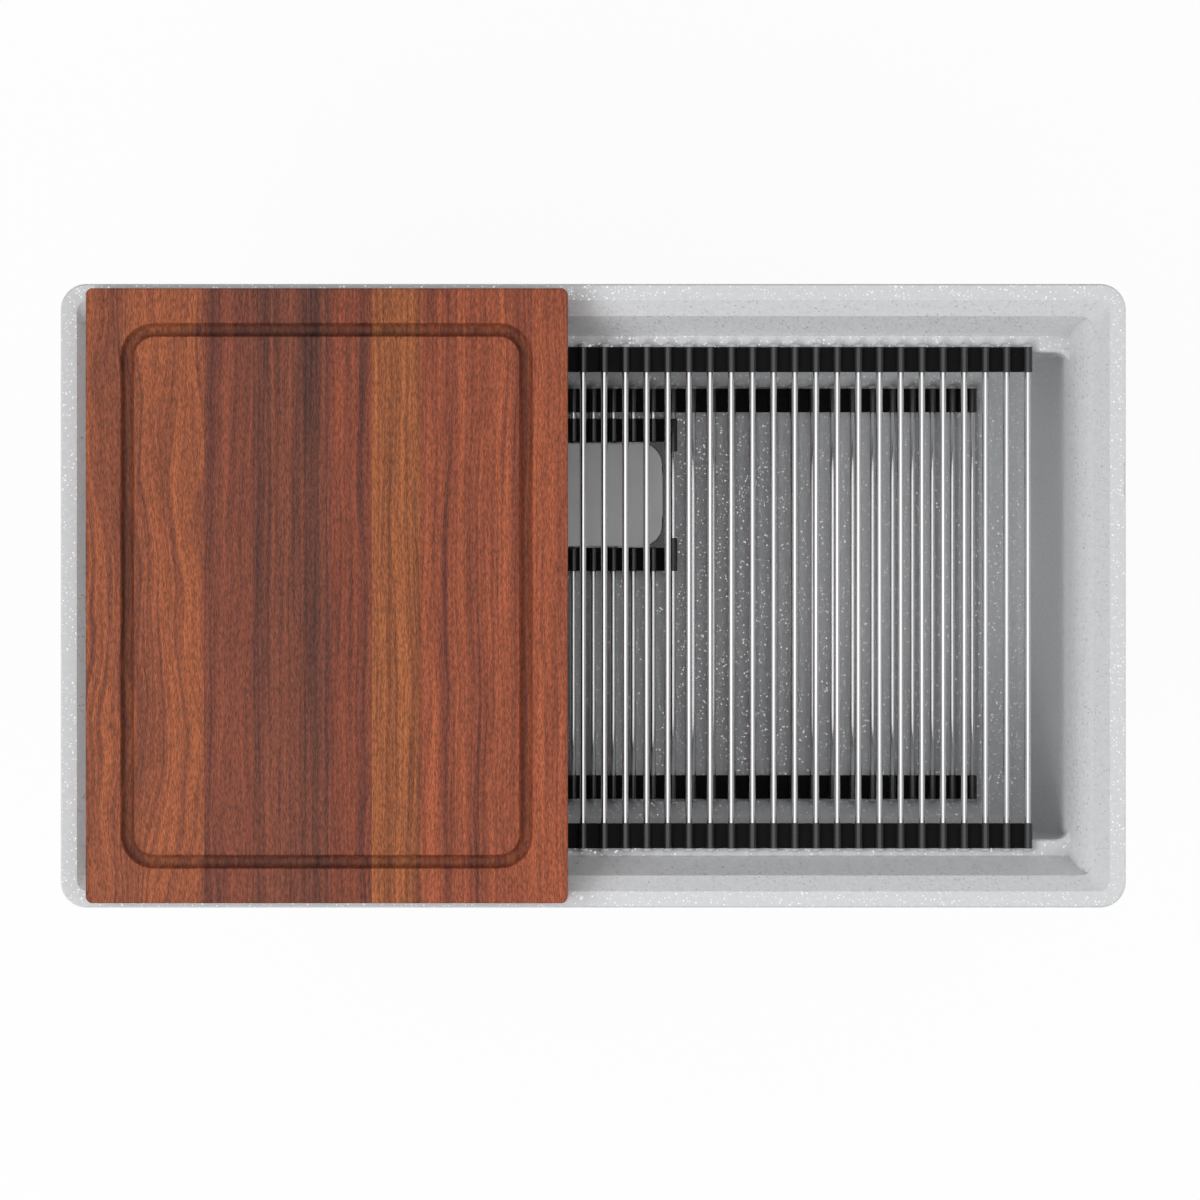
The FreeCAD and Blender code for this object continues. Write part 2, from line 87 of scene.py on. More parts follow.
def sums(tree, way, first, second):
    """One step of arithmetic on numbers."""
    node = tree.nodes.new("ShaderNodeMath")
    node.operation = way
    feed(tree, first, node.inputs[0])
    feed(tree, second, node.inputs[1])
    return node.outputs[0]


def added(tree, first, second):
    """Sum of two sets of coordinates."""
    node = tree.nodes.new("ShaderNodeVectorMath")
    node.operation = "ADD"
    tree.links.new(first, node.inputs[0])
    tree.links.new(second, node.inputs[1])
    return node.outputs[0]


def scaled(tree, vector, factor):
    """Coordinates times a number."""
    node = tree.nodes.new("ShaderNodeVectorMath")
    node.operation = "SCALE"
    node.inputs["Scale"].default_value = factor
    tree.links.new(vector, node.inputs[0])
    return node.outputs[0]


def ranged(tree, value, low, high, to_low=0.0, to_high=1.0):
    """The value's range low to high, as another range."""
    node = tree.nodes.new("ShaderNodeMapRange")
    feed(tree, value, node.inputs["Value"])
    limits = {"From Min": low, "From Max": high, "To Min": to_low, "To Max": to_high}
    for name, number in limits.items():
        node.inputs[name].default_value = number
    return node.outputs["Result"]


def mixed(tree, amount, first, second, way="MIX"):
    """Colour between two others."""
    node = tree.nodes.new("ShaderNodeMix")
    node.data_type = "RGBA"
    node.blend_type = way
    feed(tree, amount, node.inputs[0])
    feed(tree, first, node.inputs[6])
    feed(tree, second, node.inputs[7])
    return node.outputs[2]


def relief(tree, shader, height, depth, strength=1.0):
    """Fine relief of the surface, depth metres deep."""
    node = tree.nodes.new("ShaderNodeBump")
    node.inputs["Distance"].default_value = depth
    node.inputs["Strength"].default_value = strength
    tree.links.new(height, node.inputs["Height"])
    tree.links.new(node.outputs["Normal"], shader.inputs["Normal"])


def flakes(tree, vector, scale, size, share):
    """Scattered grains: 1 within size of a cell's point, in this share of the cells."""
    node = tree.nodes.new("ShaderNodeTexVoronoi")
    tree.links.new(vector, node.inputs["Vector"])
    node.inputs["Scale"].default_value = scale
    grain = ranged(tree, node.outputs["Distance"], size, size * 0.75)
    split = tree.nodes.new("ShaderNodeSeparateColor")
    tree.links.new(node.outputs["Color"], split.inputs[0])
    chosen = sums(tree, "LESS_THAN", split.outputs[0], share)
    return sums(tree, "MULTIPLY", grain, chosen)


def dress(name, finish):
    """Gives a CAD node this finish."""
    for own in nodes[name].material_slots:
        own.material = finish


composite, tree, shader = new_finish("composite", (0.60, 0.61, 0.62), 0.42, gloss=0.4)
cloud = noise(tree, place(tree), 260, 4, 0.65)
wander = tree.nodes.new("ShaderNodeTexNoise")
wander.inputs["Scale"].default_value = 900
tree.links.new(place(tree), wander.inputs["Vector"])
uneven = 0.0016
bent = added(tree, place(tree), scaled(tree, wander.outputs["Color"], uneven))
white = sums(tree, "MAXIMUM", flakes(tree, bent, 230, 0.18, 0.9),
             flakes(tree, bent, 380, 0.22, 0.8))
fine = flakes(tree, bent, 640, 0.28, 0.5)
dark_grey, light_grey = (0.565, 0.575, 0.59, 1), (0.625, 0.632, 0.645, 1)
body = mixed(tree, ranged(tree, cloud, 0.3, 0.7), dark_grey, light_grey)
body = mixed(tree, sums(tree, "MULTIPLY", fine, 0.35), body, (0.90, 0.90, 0.90, 1))
body = mixed(tree, sums(tree, "MULTIPLY", white, 0.9), body, (0.93, 0.93, 0.92, 1))
tree.links.new(body, shader.inputs["Base Color"])
tree.links.new(ranged(tree, white, 0, 1, 0.42, 0.30), shader.inputs["Roughness"])
tree.links.new(ranged(tree, white, 0, 1, 0.0, 0.8), shader.inputs["Metallic"])
relief(tree, shader, noise(tree, place(tree), 900, 3, 0.6), 0.0001, 0.35)
dress("sink_bowl", composite)


# End walls of the bowl, part of the same moulding. They come down from the bevel in
# one soft curve, stand almost upright below the ledges, and turn into the ledges
# and the floor with the mould's radii. Both ends are alike.

def open_shape(name):
    """Names the primitive just added, applies its place and opens it for editing."""
    piece = bpy.context.object
    piece.name = piece.data.name = name
    bpy.ops.object.transform_apply(location=True, rotation=True, scale=True)
    bpy.ops.object.mode_set(mode="EDIT")
    return piece


def pick(piece, kind, test):
    """Selects only the faces, edges or corners that pass the test."""
    bpy.ops.mesh.select_mode(type=kind)
    bpy.ops.mesh.select_all(action="DESELECT")
    shape = bmesh.from_edit_mesh(piece.data)
    if kind == "FACE":
        for face in shape.faces:
            face.select_set(test(face.calc_center_median(), face.normal))
    elif kind == "EDGE":
        for edge in [e for e in shape.edges if test(e.verts[0].co, e.verts[1].co)]:
            edge.select_set(True)
    else:
        for corner in [v for v in shape.verts if test(v.co)]:
            corner.select_set(True)
    shape.select_flush_mode()
    bmesh.update_edit_mesh(piece.data)


def close_shape(piece, finish, angle=35):
    """Turns the faces outwards, leaves edit mode, shades the piece and finishes it."""
    bpy.ops.mesh.select_mode(type="VERT")
    bpy.ops.mesh.select_all(action="SELECT")
    bpy.ops.mesh.remove_doubles(threshold=1e-6)
    bpy.ops.mesh.normals_make_consistent(inside=False)
    bpy.ops.object.mode_set(mode="OBJECT")
    bpy.ops.object.shade_smooth_by_angle(angle=math.radians(angle))
    piece.data.materials.clear()
    piece.data.materials.append(finish)


def joined(parts, name):
    """Joins the parts into the first of them."""
    bpy.ops.object.select_all(action="DESELECT")
    for part in parts:
        part.select_set(True)
    bpy.context.view_layer.objects.active = parts[0]
    bpy.ops.object.join()
    parts[0].name = parts[0].data.name = name
    bpy.ops.object.select_all(action="DESELECT")
    return parts[0]


def bar(name, outline, way):
    """Draws the outline corner by corner, fills it and extrudes it, left open for editing."""
    bpy.ops.mesh.primitive_plane_add(size=0.001, location=outline[0])
    piece = open_shape(name)
    bpy.ops.mesh.select_mode(type="VERT")
    bpy.ops.mesh.select_all(action="SELECT")
    bpy.ops.mesh.merge(type="CENTER")
    for here, there in zip(outline, outline[1:] + outline[:1]):
        onward = Vector(there) - Vector(here)
        bpy.ops.mesh.extrude_region_move(TRANSFORM_OT_translate={"value": onward})
    bpy.ops.mesh.select_all(action="SELECT")
    bpy.ops.mesh.remove_doubles(threshold=1e-6)
    bpy.ops.mesh.edge_face_add()
    bpy.ops.mesh.extrude_region_move(TRANSFORM_OT_translate={"value": way})
    return piece


edge_x, edge_y, bevel_z = 0.37035, 0.20715, -0.0070
shelf_z = -0.03002
buried_x, buried_y, buried_z = 0.3716, 0.2082, -0.229
cove_r = 0.009
cove_x, cove_z = 0.3350, -0.2168
post_x, post_y, post_height = 0.3459, 0.1724, 0.1962
quarter = [math.radians(15 * i) for i in range(7)]
fall = []
for i in range(21):
    t = i / 20
    near, second, third, far = (1 - t) ** 3, 3 * t * (1 - t) ** 2, 3 * t * t * (1 - t), t ** 3
    fall.append((edge_x * near + 0.3600 * second + 0.3520 * third + 0.3500 * far,
                 bevel_z * near - 0.0118 * second - 0.0200 * third - 0.0800 * far))
foot = [(cove_x + cove_r * math.cos(turn), cove_z - cove_r * math.sin(turn)) for turn in quarter]
upper_on = [(buried_x, -0.008)] + fall[:19] + [(buried_x, fall[18][1])]
lower_on = [(0.3714, fall[16][1]), (fall[16][0] + 0.0004, fall[16][1])]
lower_on += [(fall[18][0] + 0.00002, fall[18][1])] + fall[19:] + foot
lower_on += [(0.3340, -0.2262), (0.3340, buried_z), (0.370, buried_z)]
ledge_on = [(buried_y, -0.0085), (edge_y, bevel_z), (0.19375, shelf_z), (0.1840, shelf_z),
            (0.1823, -0.03075), (0.18155, -0.0324), (0.1814, -0.060), (buried_y, -0.060)]
nook = [(0.3590, 0.1842), (post_x, 0.1842)]
nook += [(post_x + cove_r * math.sin(turn), post_y + cove_r * math.cos(turn)) for turn in quarter]
nook += [(0.3590, post_y)]
arc_step = 2 * cove_r * math.sin(math.radians(7.5))
parts = []
for side in (1, -1):
    for outline, reach in ((upper_on, 0.2069), (lower_on, 0.2025)):
        wall = bar("end_wall", [(side * x, -reach, z) for x, z in outline],
                   (0, 2 * reach, 0))
        close_shape(wall, composite, 40)
        parts.append(wall)
    for away in (1, -1):
        ledge = bar("end_ledge", [(side * 0.3499, away * y, z) for y, z in ledge_on],
                    (side * 0.0211, 0, 0))
        close_shape(ledge, composite, 40)
        post = bar("end_post", [(side * x, away * y, shelf_z) for x, y in nook],
                   (0, 0, -post_height))
        pick(post, "EDGE", lambda a, b: min(a.z, b.z) > shelf_z - 1e-5
             and abs((a - b).length - arc_step) < 1e-5)
        bpy.ops.mesh.bevel(offset=0.0018, segments=3)
        close_shape(post, composite, 40)
        parts += [ledge, post]
end_walls = joined(parts, "sink_end_walls")
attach(end_walls, "sink")


# Twelve threaded brass inserts, moulded into the underside of the rim for the
# clips' screws. Plain turned brass, slightly dulled.

brass, tree, shader = new_finish("insert_brass", (0.74, 0.55, 0.26), 0.32, 1.0)
tarnish = noise(tree, place(tree), 300, 4, 0.6)
tree.links.new(mixed(tree, tarnish, (0.80, 0.60, 0.29, 1), (0.60, 0.42, 0.19, 1)),
               shader.inputs["Base Color"])
tree.links.new(ranged(tree, tarnish, 0.3, 0.7, 0.24, 0.42), shader.inputs["Roughness"])
dress("rim_inserts", brass)


# Basket strainer. Pressed stainless body and basket, polished on the flange and
# brushed round the cup by the lathe.

steel, tree, shader = new_finish("strainer_steel", (0.72, 0.72, 0.73), 0.26, 1.0)
turned = noise(tree, place(tree, (1, 1, 30)), 90, 4, 0.6)
tree.links.new(mixed(tree, turned, (0.66, 0.66, 0.67, 1), (0.78, 0.78, 0.79, 1)),
               shader.inputs["Base Color"])
tree.links.new(ranged(tree, turned, 0.3, 0.7, 0.20, 0.34), shader.inputs["Roughness"])
relief(tree, shader, turned, 0.00002, 0.4)
for name in ("strainer_body", "strainer_basket", "basket_post"):
    dress(name, steel)


# Rubber parts of the strainer: the seal under its flange, the seal of the basket
# and the thick gasket below the floor. Black, moulded, with a dusty bloom.

rubber, tree, shader = new_finish("seal_rubber", (0.022, 0.022, 0.023), 0.6)
bloom = noise(tree, place(tree), 420, 5, 0.65)
tree.links.new(mixed(tree, bloom, (0.014, 0.014, 0.015, 1), (0.045, 0.045, 0.046, 1)),
               shader.inputs["Base Color"])
tree.links.new(ranged(tree, bloom, 0.3, 0.7, 0.5, 0.75), shader.inputs["Roughness"])
relief(tree, shader, noise(tree, place(tree), 2200, 2), 0.00005, 0.4)
for name in ("flange_seal", "basket_seal", "strainer_gasket"):
    dress(name, rubber)


# Friction ring, pressed from grey-brown fibre board, so that the locknut turns
# without dragging the gasket round.

board_ring, tree, shader = new_finish("ring_board", (0.33, 0.26, 0.19), 0.85)
fibres = noise(tree, place(tree, (1, 1, 6)), 900, 4, 0.7)
tree.links.new(mixed(tree, fibres, (0.24, 0.18, 0.13, 1), (0.42, 0.34, 0.25, 1)),
               shader.inputs["Base Color"])
relief(tree, shader, fibres, 0.0001, 0.5)
dress("friction_ring", board_ring)


# Locknut with its eight lugs, die cast in zinc and left plain.

cast, tree, shader = new_finish("locknut_metal", (0.50, 0.50, 0.51), 0.42, 1.0)
grainy = noise(tree, place(tree), 700, 4, 0.6)
tree.links.new(mixed(tree, grainy, (0.42, 0.42, 0.43, 1), (0.58, 0.58, 0.59, 1)),
               shader.inputs["Base Color"])
tree.links.new(ranged(tree, grainy, 0.3, 0.7, 0.34, 0.55), shader.inputs["Roughness"])
relief(tree, shader, grainy, 0.00006, 0.4)
dress("strainer_locknut", cast)


# Tailpiece of thin brass tube, chrome plated, with its white washer and the
# brass slip nut that draws it up to the neck.

chrome, tree, shader = new_finish("tail_chrome", (0.80, 0.80, 0.81), 0.10, 1.0)
haze = noise(tree, place(tree, (1, 1, 0.2)), 160, 4, 0.6)
tree.links.new(mixed(tree, haze, (0.75, 0.75, 0.76, 1), (0.85, 0.85, 0.86, 1)),
               shader.inputs["Base Color"])
tree.links.new(ranged(tree, haze, 0.35, 0.7, 0.07, 0.18), shader.inputs["Roughness"])
dress("tailpiece", chrome)

washer, tree, shader = new_finish("washer_plastic", (0.80, 0.80, 0.77), 0.4)
milky = noise(tree, place(tree), 250, 3)
tree.links.new(mixed(tree, milky, (0.75, 0.75, 0.71, 1), (0.86, 0.86, 0.83, 1)),
               shader.inputs["Base Color"])
dress("tailpiece_washer", washer)

nut, tree, shader = new_finish("nut_brass", (0.70, 0.56, 0.30), 0.28, 1.0)
worn = noise(tree, place(tree), 220, 4, 0.6)
tree.links.new(mixed(tree, worn, (0.76, 0.61, 0.33, 1), (0.58, 0.45, 0.23, 1)),
               shader.inputs["Base Color"])
tree.links.new(ranged(tree, worn, 0.3, 0.7, 0.20, 0.36), shader.inputs["Roughness"])
dress("coupling_nut", nut)


# Drain cover. A flat pale grey plate with rounded corners and an eased upper
# edge, on four short feet that stand on the strainer's flange.

def rounded_plate(name, half_x, half_y, corner, middle, height):
    """A flat sheet with rounded corners, open in edit mode with its face selected."""
    bpy.ops.mesh.primitive_plane_add(size=2, location=(middle[0], middle[1], height))
    bpy.context.object.scale = (half_x, half_y, 1)
    piece = open_shape(name)
    bpy.ops.mesh.select_mode(type="VERT")
    bpy.ops.mesh.select_all(action="SELECT")
    bpy.ops.mesh.bevel(affect="VERTICES", offset=corner * math.sqrt(2), segments=8, profile=0.5)
    bpy.ops.mesh.select_mode(type="FACE")
    bpy.ops.mesh.select_all(action="SELECT")
    return piece


drain = Vector((-0.0006, 0.080))
cover_top, cover_thick = -0.2189, 0.003
cover_bottom = cover_top - cover_thick
feet_ring, foot_r, foot_height = 0.0505, 0.003, 0.0079
plastic, tree, shader = new_finish("cover_plastic", (0.62, 0.62, 0.62), 0.30, gloss=0.6)
moulded = noise(tree, place(tree), 60, 3)
tree.links.new(mixed(tree, moulded, (0.86, 0.86, 0.86, 1), (0.91, 0.91, 0.91, 1)),
               shader.inputs["Base Color"])
relief(tree, shader, noise(tree, place(tree), 1600, 2), 0.00004, 0.3)

cover = rounded_plate("drain_cover", 0.0543, 0.0408, 0.0118, drain, cover_bottom)
bpy.ops.mesh.extrude_region_move(TRANSFORM_OT_translate={"value": (0, 0, cover_thick)})
pick(cover, "EDGE", lambda a, b: min(a.z, b.z) > cover_top - 1e-5)
bpy.ops.mesh.bevel(offset=0.0010, segments=4)
pick(cover, "EDGE", lambda a, b: max(a.z, b.z) < cover_bottom + 1e-4)
bpy.ops.mesh.bevel(offset=0.0004, segments=2)
close_shape(cover, plastic)
feet = []
for turn in (37, 143, 217, 323):
    x = feet_ring * math.cos(math.radians(turn))
    y = drain.y + feet_ring * math.sin(math.radians(turn))
    bpy.ops.mesh.primitive_cylinder_add(
        vertices=20, radius=foot_r, depth=foot_height, location=(x, y, -0.22485))
    leg = open_shape("cover_foot")
    pick(leg, "EDGE", lambda a, b: max(a.z, b.z) < -0.2287)
    bpy.ops.mesh.bevel(offset=0.0008, segments=3)
    close_shape(leg, plastic)
    feet.append(leg)
cover = joined([cover] + feet, "drain_cover_plate")
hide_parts("drain_cover")
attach(cover, "cover")


# Floor mat. Drawn stainless rods in black silicone strips, with a cut-out over
# the drain whose frame holds the seven cut rods. The strips are moulded with one
# sleeve for each rod, and the rods' ends are blind in them.

rod_pitch, rod_r = 0.01578, 0.0024
sleeve_r, sleeve_past_web, web_thick = 0.00355, 0.0024, 0.003
mat_x, mat_base = -0.0006, -0.226
mat_front, mat_back = -0.1573, 0.1609

rod_steel, tree, shader = new_finish("rod_steel", (0.80, 0.80, 0.80), 0.22, 1.0)
drawn = noise(tree, place(tree, (1, 0.004, 1)), 900, 3, 0.6)
tree.links.new(mixed(tree, drawn, (0.89, 0.89, 0.895, 1), (0.95, 0.95, 0.95, 1)),
               shader.inputs["Base Color"])
tree.links.new(ranged(tree, drawn, 0.3, 0.7, 0.13, 0.17), shader.inputs["Roughness"])

silicone, tree, shader = new_finish("strip_silicone", (0.008, 0.008, 0.009), 0.22, gloss=0.9)
satin = noise(tree, place(tree), 350, 4, 0.6)
tree.links.new(mixed(tree, satin, (0.005, 0.005, 0.006, 1), (0.012, 0.012, 0.013, 1)),
               shader.inputs["Base Color"])
tree.links.new(ranged(tree, satin, 0.3, 0.7, 0.18, 0.26), shader.inputs["Roughness"])
relief(tree, shader, noise(tree, place(tree), 2600, 2), 0.00003, 0.3)

matt, tree, shader = new_finish("web_silicone", (0.005, 0.005, 0.005), 0.75, gloss=0.1)
dusty = noise(tree, place(tree), 500, 4, 0.6)
tree.links.new(mixed(tree, dusty, (0.003, 0.003, 0.003, 1), (0.009, 0.009, 0.009, 1)),
               shader.inputs["Base Color"])

# Painted shadow: grey for the tips of the sleeves past the webs, in place of the shadow each
# sleeve's arch casts on the ledge behind the strip.
painted_shadow_tip, tree, shader = new_finish("sleeve_tip_painted_shadow", (0.40, 0.40, 0.41), 0.5, gloss=0.3)
cloudy = noise(tree, place(tree), 400, 3)
tree.links.new(mixed(tree, cloudy, (0.36, 0.36, 0.37, 1), (0.45, 0.45, 0.46, 1)),
               shader.inputs["Base Color"])


def row_of(piece, count):
    """Repeats the piece along X, one rod pitch apart."""
    bpy.context.view_layer.objects.active = piece
    row = piece.modifiers.new("row", "ARRAY")
    row.count = count
    row.use_relative_offset = False
    row.use_constant_offset = True
    row.constant_offset_displace = (rod_pitch, 0, 0)
    bpy.ops.object.modifier_apply(modifier=row.name)
    return piece


def rods(name, first_x, count, low, high, base):
    """A row of round rods along Y, with eased ends."""
    bpy.ops.mesh.primitive_cylinder_add(
        vertices=20, radius=rod_r, depth=high - low,
        location=(first_x, (low + high) / 2, base + sleeve_r), rotation=(math.pi / 2, 0, 0))
    piece = open_shape(name)
    pick(piece, "EDGE", lambda a, b: abs(a.y - b.y) < 1e-6)
    bpy.ops.mesh.bevel(offset=0.0004, segments=2)
    close_shape(piece, rod_steel)
    return row_of(piece, count) if count > 1 else piece


def sleeve(name, x, inner, outer, base, cap=0.0054, tip=0.0):
    """Arched sleeve with a flat foot, from its inner end to its outer end.

    Its bore stops short of the outer end by cap, and its last tip is grey: a painted shadow of the
    sleeve's arch on the ledge."""
    away = 1 if outer > inner else -1
    dark_end = outer - away * tip
    bpy.ops.mesh.primitive_cylinder_add(
        vertices=24, radius=sleeve_r, depth=abs(dark_end - inner),
        location=(x, (inner + dark_end) / 2, base + sleeve_r), rotation=(math.pi / 2, 0, 0))
    piece = open_shape(name)
    if tip:
        pick(piece, "FACE", lambda c, n: abs(c.y - dark_end) < 1e-6)
        bpy.ops.mesh.extrude_region_move(
            TRANSFORM_OT_translate={"value": (0, away * tip, 0)})
    pick(piece, "FACE", lambda c, n: abs(c.y - inner) < 1e-6)
    bpy.ops.mesh.inset(thickness=sleeve_r - rod_r - 0.0001)
    bpy.ops.mesh.extrude_region_move(
        TRANSFORM_OT_translate={"value": (0, outer - away * cap - inner, 0)})
    if not cap:
        bpy.ops.mesh.delete(type="FACE")

    def on_wall(c):
        return math.hypot(c.x - x, c.z - base - sleeve_r) > sleeve_r - 0.0002

    pick(piece, "VERT", lambda c: c.z < base + sleeve_r - 1e-5 and on_wall(c))
    bpy.ops.transform.resize(value=(1, 1, 0), center_override=(x, inner, base))
    pick(piece, "EDGE", lambda a, b: abs(a.y - outer) < 1e-6 and abs(b.y - outer) < 1e-6)
    bpy.ops.mesh.bevel(offset=0.0009, segments=3)
    pick(piece, "EDGE", lambda a, b: abs(a.y - inner) < 1e-6 and abs(b.y - inner) < 1e-6
         and on_wall(a) and on_wall(b))
    bpy.ops.mesh.bevel(offset=0.0002, segments=1)
    close_shape(piece, silicone)
    # Painted shadow: the tip past dark_end gets the grey material.
    if tip:
        piece.data.materials.append(painted_shadow_tip)
        for face in piece.data.polygons:
            face.material_index = int(away * (face.center.y - dark_end) > 0)
    return piece


def web(name, x, inner, outer, base):
    """Flat web from one sleeve's wall to the next one's."""
    wide = rod_pitch - 2 * sleeve_r + 0.0006
    bpy.ops.mesh.primitive_cube_add(
        size=1, location=(x + rod_pitch / 2, (inner + outer) / 2, base + web_thick / 2))
    bpy.context.object.scale = (wide, abs(outer - inner), web_thick)
    piece = open_shape(name)
    pick(piece, "EDGE", lambda a, b: abs(a.y - b.y) < 1e-6 and abs(a.z - b.z) < 1e-6)
    bpy.ops.mesh.bevel(offset=0.0005, segments=2)
    close_shape(piece, matt)
    return piece


def end_strip(name, first_x, count, inner, outer, base):
    """Strip with a sleeve for every rod; the sleeves stand a little past the webs, and that part is
    grey, a painted shadow of the sleeves on the ledge.
    """
    away = 1 if outer > inner else -1
    end = outer + away * sleeve_past_web
    sleeves = row_of(sleeve(name, first_x, inner, end, base, tip=sleeve_past_web), count)
    webs = row_of(web(name + "_web", first_x, inner, outer, base), count - 1)
    return joined([sleeves, webs], name)


floor_first = mat_x - 19 * rod_pitch
cut_first = mat_x - 3 * rod_pitch
left = rods("floor_mat_rods_left", floor_first, 16, mat_front, mat_back, mat_base)
right = rods("floor_mat_rods_right", mat_x + 4 * rod_pitch, 16, mat_front, mat_back, mat_base)
long_rods = joined([left, right], "floor_mat_long_rods")
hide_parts("floor_mat_rods")
short_back = rods("floor_mat_cut_rods_back", cut_first, 7, 0.1246, mat_back, mat_base)
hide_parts("floor_mat_short_rods_back")
short_front = rods("floor_mat_cut_rods_front", cut_first, 7, mat_front, 0.0354, mat_base)
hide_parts("floor_mat_short_rods_front")
for piece in (long_rods, short_back, short_front):
    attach(piece, "floor_mat")

back = end_strip("floor_mat_sleeves_back", floor_first, 39, 0.1453, 0.1639, mat_base)
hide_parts("floor_mat_strip_back")
front = end_strip("floor_mat_sleeves_front", floor_first, 39, -0.1417, -0.1603, mat_base)
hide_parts("floor_mat_strip_front")

opening_y, frame_y = 0.0416, 0.0602
opening = rounded_plate("cut_out_frame", 0.0551, opening_y, 0.0126, drain, mat_base)
bpy.ops.mesh.delete(type="ONLY_FACE")
bpy.ops.object.mode_set(mode="OBJECT")
outline = rounded_plate("cut_out_outline", 0.05957, frame_y, 0.0035, drain, mat_base)
bpy.ops.mesh.delete(type="ONLY_FACE")
bpy.ops.object.mode_set(mode="OBJECT")
ring = joined([opening, outline], "cut_out_frame")
bpy.ops.object.select_all(action="DESELECT")
bpy.context.view_layer.objects.active = ring
bpy.ops.object.mode_set(mode="EDIT")
bpy.ops.mesh.select_mode(type="EDGE")
bpy.ops.mesh.select_all(action="SELECT")
bpy.ops.mesh.bridge_edge_loops()
bpy.ops.mesh.select_all(action="SELECT")
bpy.ops.mesh.extrude_region_move(TRANSFORM_OT_translate={"value": (0, 0, 0.0029)})
close_shape(ring, silicone)
parts = [ring]
for away in (1, -1):
    inner = drain.y + away * opening_y
    outer = drain.y + away * frame_y
    parts.append(row_of(sleeve("cut_out_sleeve", cut_first, outer, inner, mat_base, 0.003), 7))
    parts.append(row_of(web("cut_out_web", cut_first - rod_pitch, inner, outer, mat_base), 8))
    for x in (cut_first - rod_pitch, cut_first + 7 * rod_pitch):
        parts.append(sleeve("cut_out_corner", x, outer - away * 0.0261, outer, mat_base, 0))
cut_out = joined(parts, "floor_mat_cut_out_frame")
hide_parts("floor_mat_drain_frame")
for piece in (back, front, cut_out):
    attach(piece, "floor_mat")


# Roll mat. The same rods and strips, 26 rods wide, laid across the bowl on the
# two ledges.

roll_count, roll_last, roll_base = 26, 0.3236, -0.030
roll_first = roll_last - (roll_count - 1) * rod_pitch
roll_rods = rods("roll_mat_round_rods", roll_first, roll_count, -0.1852, 0.1824, roll_base)
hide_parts("roll_mat_rods")
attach(roll_rods, "roll_mat")
back = end_strip("roll_mat_sleeves_back", roll_first, roll_count, 0.1668, 0.1854, roll_base)
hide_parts("roll_mat_strip_back")
front = end_strip("roll_mat_sleeves_front", roll_first, roll_count, -0.1696, -0.1882, roll_base)
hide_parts("roll_mat_strip_front")
for piece in (back, front):
    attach(piece, "roll_mat")


# Cutting board. Staves of a red-brown hardwood, glued edge to edge with the grain
# along the bowl's short way, oiled, with a routed juice groove near its edge and
# eased arrises. A low step below keeps it in the opening.

board_left, board_right, board_top = -0.3723, -0.0187, 0.0254
board_mid = Vector(((board_left + board_right) / 2, 0))
half_x, half_y = (board_right - board_left) / 2, 0.2256
groove_middle, groove_half_wide = 0.0306, 0.0057

board = rounded_plate("board_outline", half_x, half_y, 0.0035, board_mid, 0)
bpy.ops.mesh.extrude_region_move(TRANSFORM_OT_translate={"value": (0, 0, board_top)})
pick(board, "FACE", lambda c, n: c.z > board_top - 1e-5)
bpy.ops.mesh.delete(type="ONLY_FACE")
bpy.ops.object.mode_set(mode="OBJECT")
inset = groove_middle - groove_half_wide
groove = rounded_plate("board_groove", half_x - inset, half_y - inset, 0.0182, board_mid, board_top)
lip = [(0, 0), (0.0003, 0.00005), (0.0006, 0.0002), (0.0009, 0.0006), (0.0012, 0.0014),
       (0.0017, 0.0028), (0.0024, 0.0040), (0.0034, 0.0048), (0.0046, 0.0052), (0.0057, 0.0053)]
profile = lip + [(2 * groove_half_wide - across, down) for across, down in reversed(lip[:-1])]
for (across, down), (next_across, next_down) in zip(profile, profile[1:]):
    bpy.ops.mesh.inset(thickness=next_across - across, depth=down - next_down)
bpy.ops.object.mode_set(mode="OBJECT")
board = joined([board, groove], "board_body")
bpy.context.view_layer.objects.active = board
bpy.ops.object.mode_set(mode="EDIT")
bpy.ops.mesh.select_mode(type="EDGE")
bpy.ops.mesh.select_all(action="DESELECT")
bpy.ops.mesh.select_non_manifold(extend=False)
bpy.ops.mesh.bridge_edge_loops()


def on_outline(c):
    """True at the board's outline, seen from above."""
    x, y = abs(c.x - board_mid.x), abs(c.y)
    return x > half_x - 1e-5 or y > half_y - 1e-5 or (x > half_x - 0.0036 and y > half_y - 0.0035)


pick(board, "EDGE", lambda a, b: min(a.z, b.z) > board_top - 1e-5
     and on_outline(a) and on_outline(b))
bpy.ops.mesh.bevel(offset=0.0016, segments=4)
pick(board, "EDGE", lambda a, b: max(a.z, b.z) < 1e-5 and on_outline(a) and on_outline(b))
bpy.ops.mesh.bevel(offset=0.0010, segments=3)

wood, tree, shader = new_finish("oiled_wood", (0.27, 0.09, 0.04), 0.48, gloss=0.3)
close_shape(board, wood, 30)
step_wide, step_wide_below = 0.4354, 0.4306
bpy.ops.mesh.primitive_cube_add(size=1, location=(board_mid.x, 0, -0.0015))
bpy.context.object.scale = (2 * half_x - 0.012, step_wide, 0.005)
step = open_shape("board_step")
pick(step, "FACE", lambda c, n: n.z < -0.9)
bpy.ops.transform.resize(value=(1, step_wide_below / step_wide, 1))
bpy.ops.mesh.select_all(action="SELECT")
close_shape(step, wood, 30)
board = joined([board, step], "board_with_groove")
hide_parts("cutting_board")
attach(board, "board")


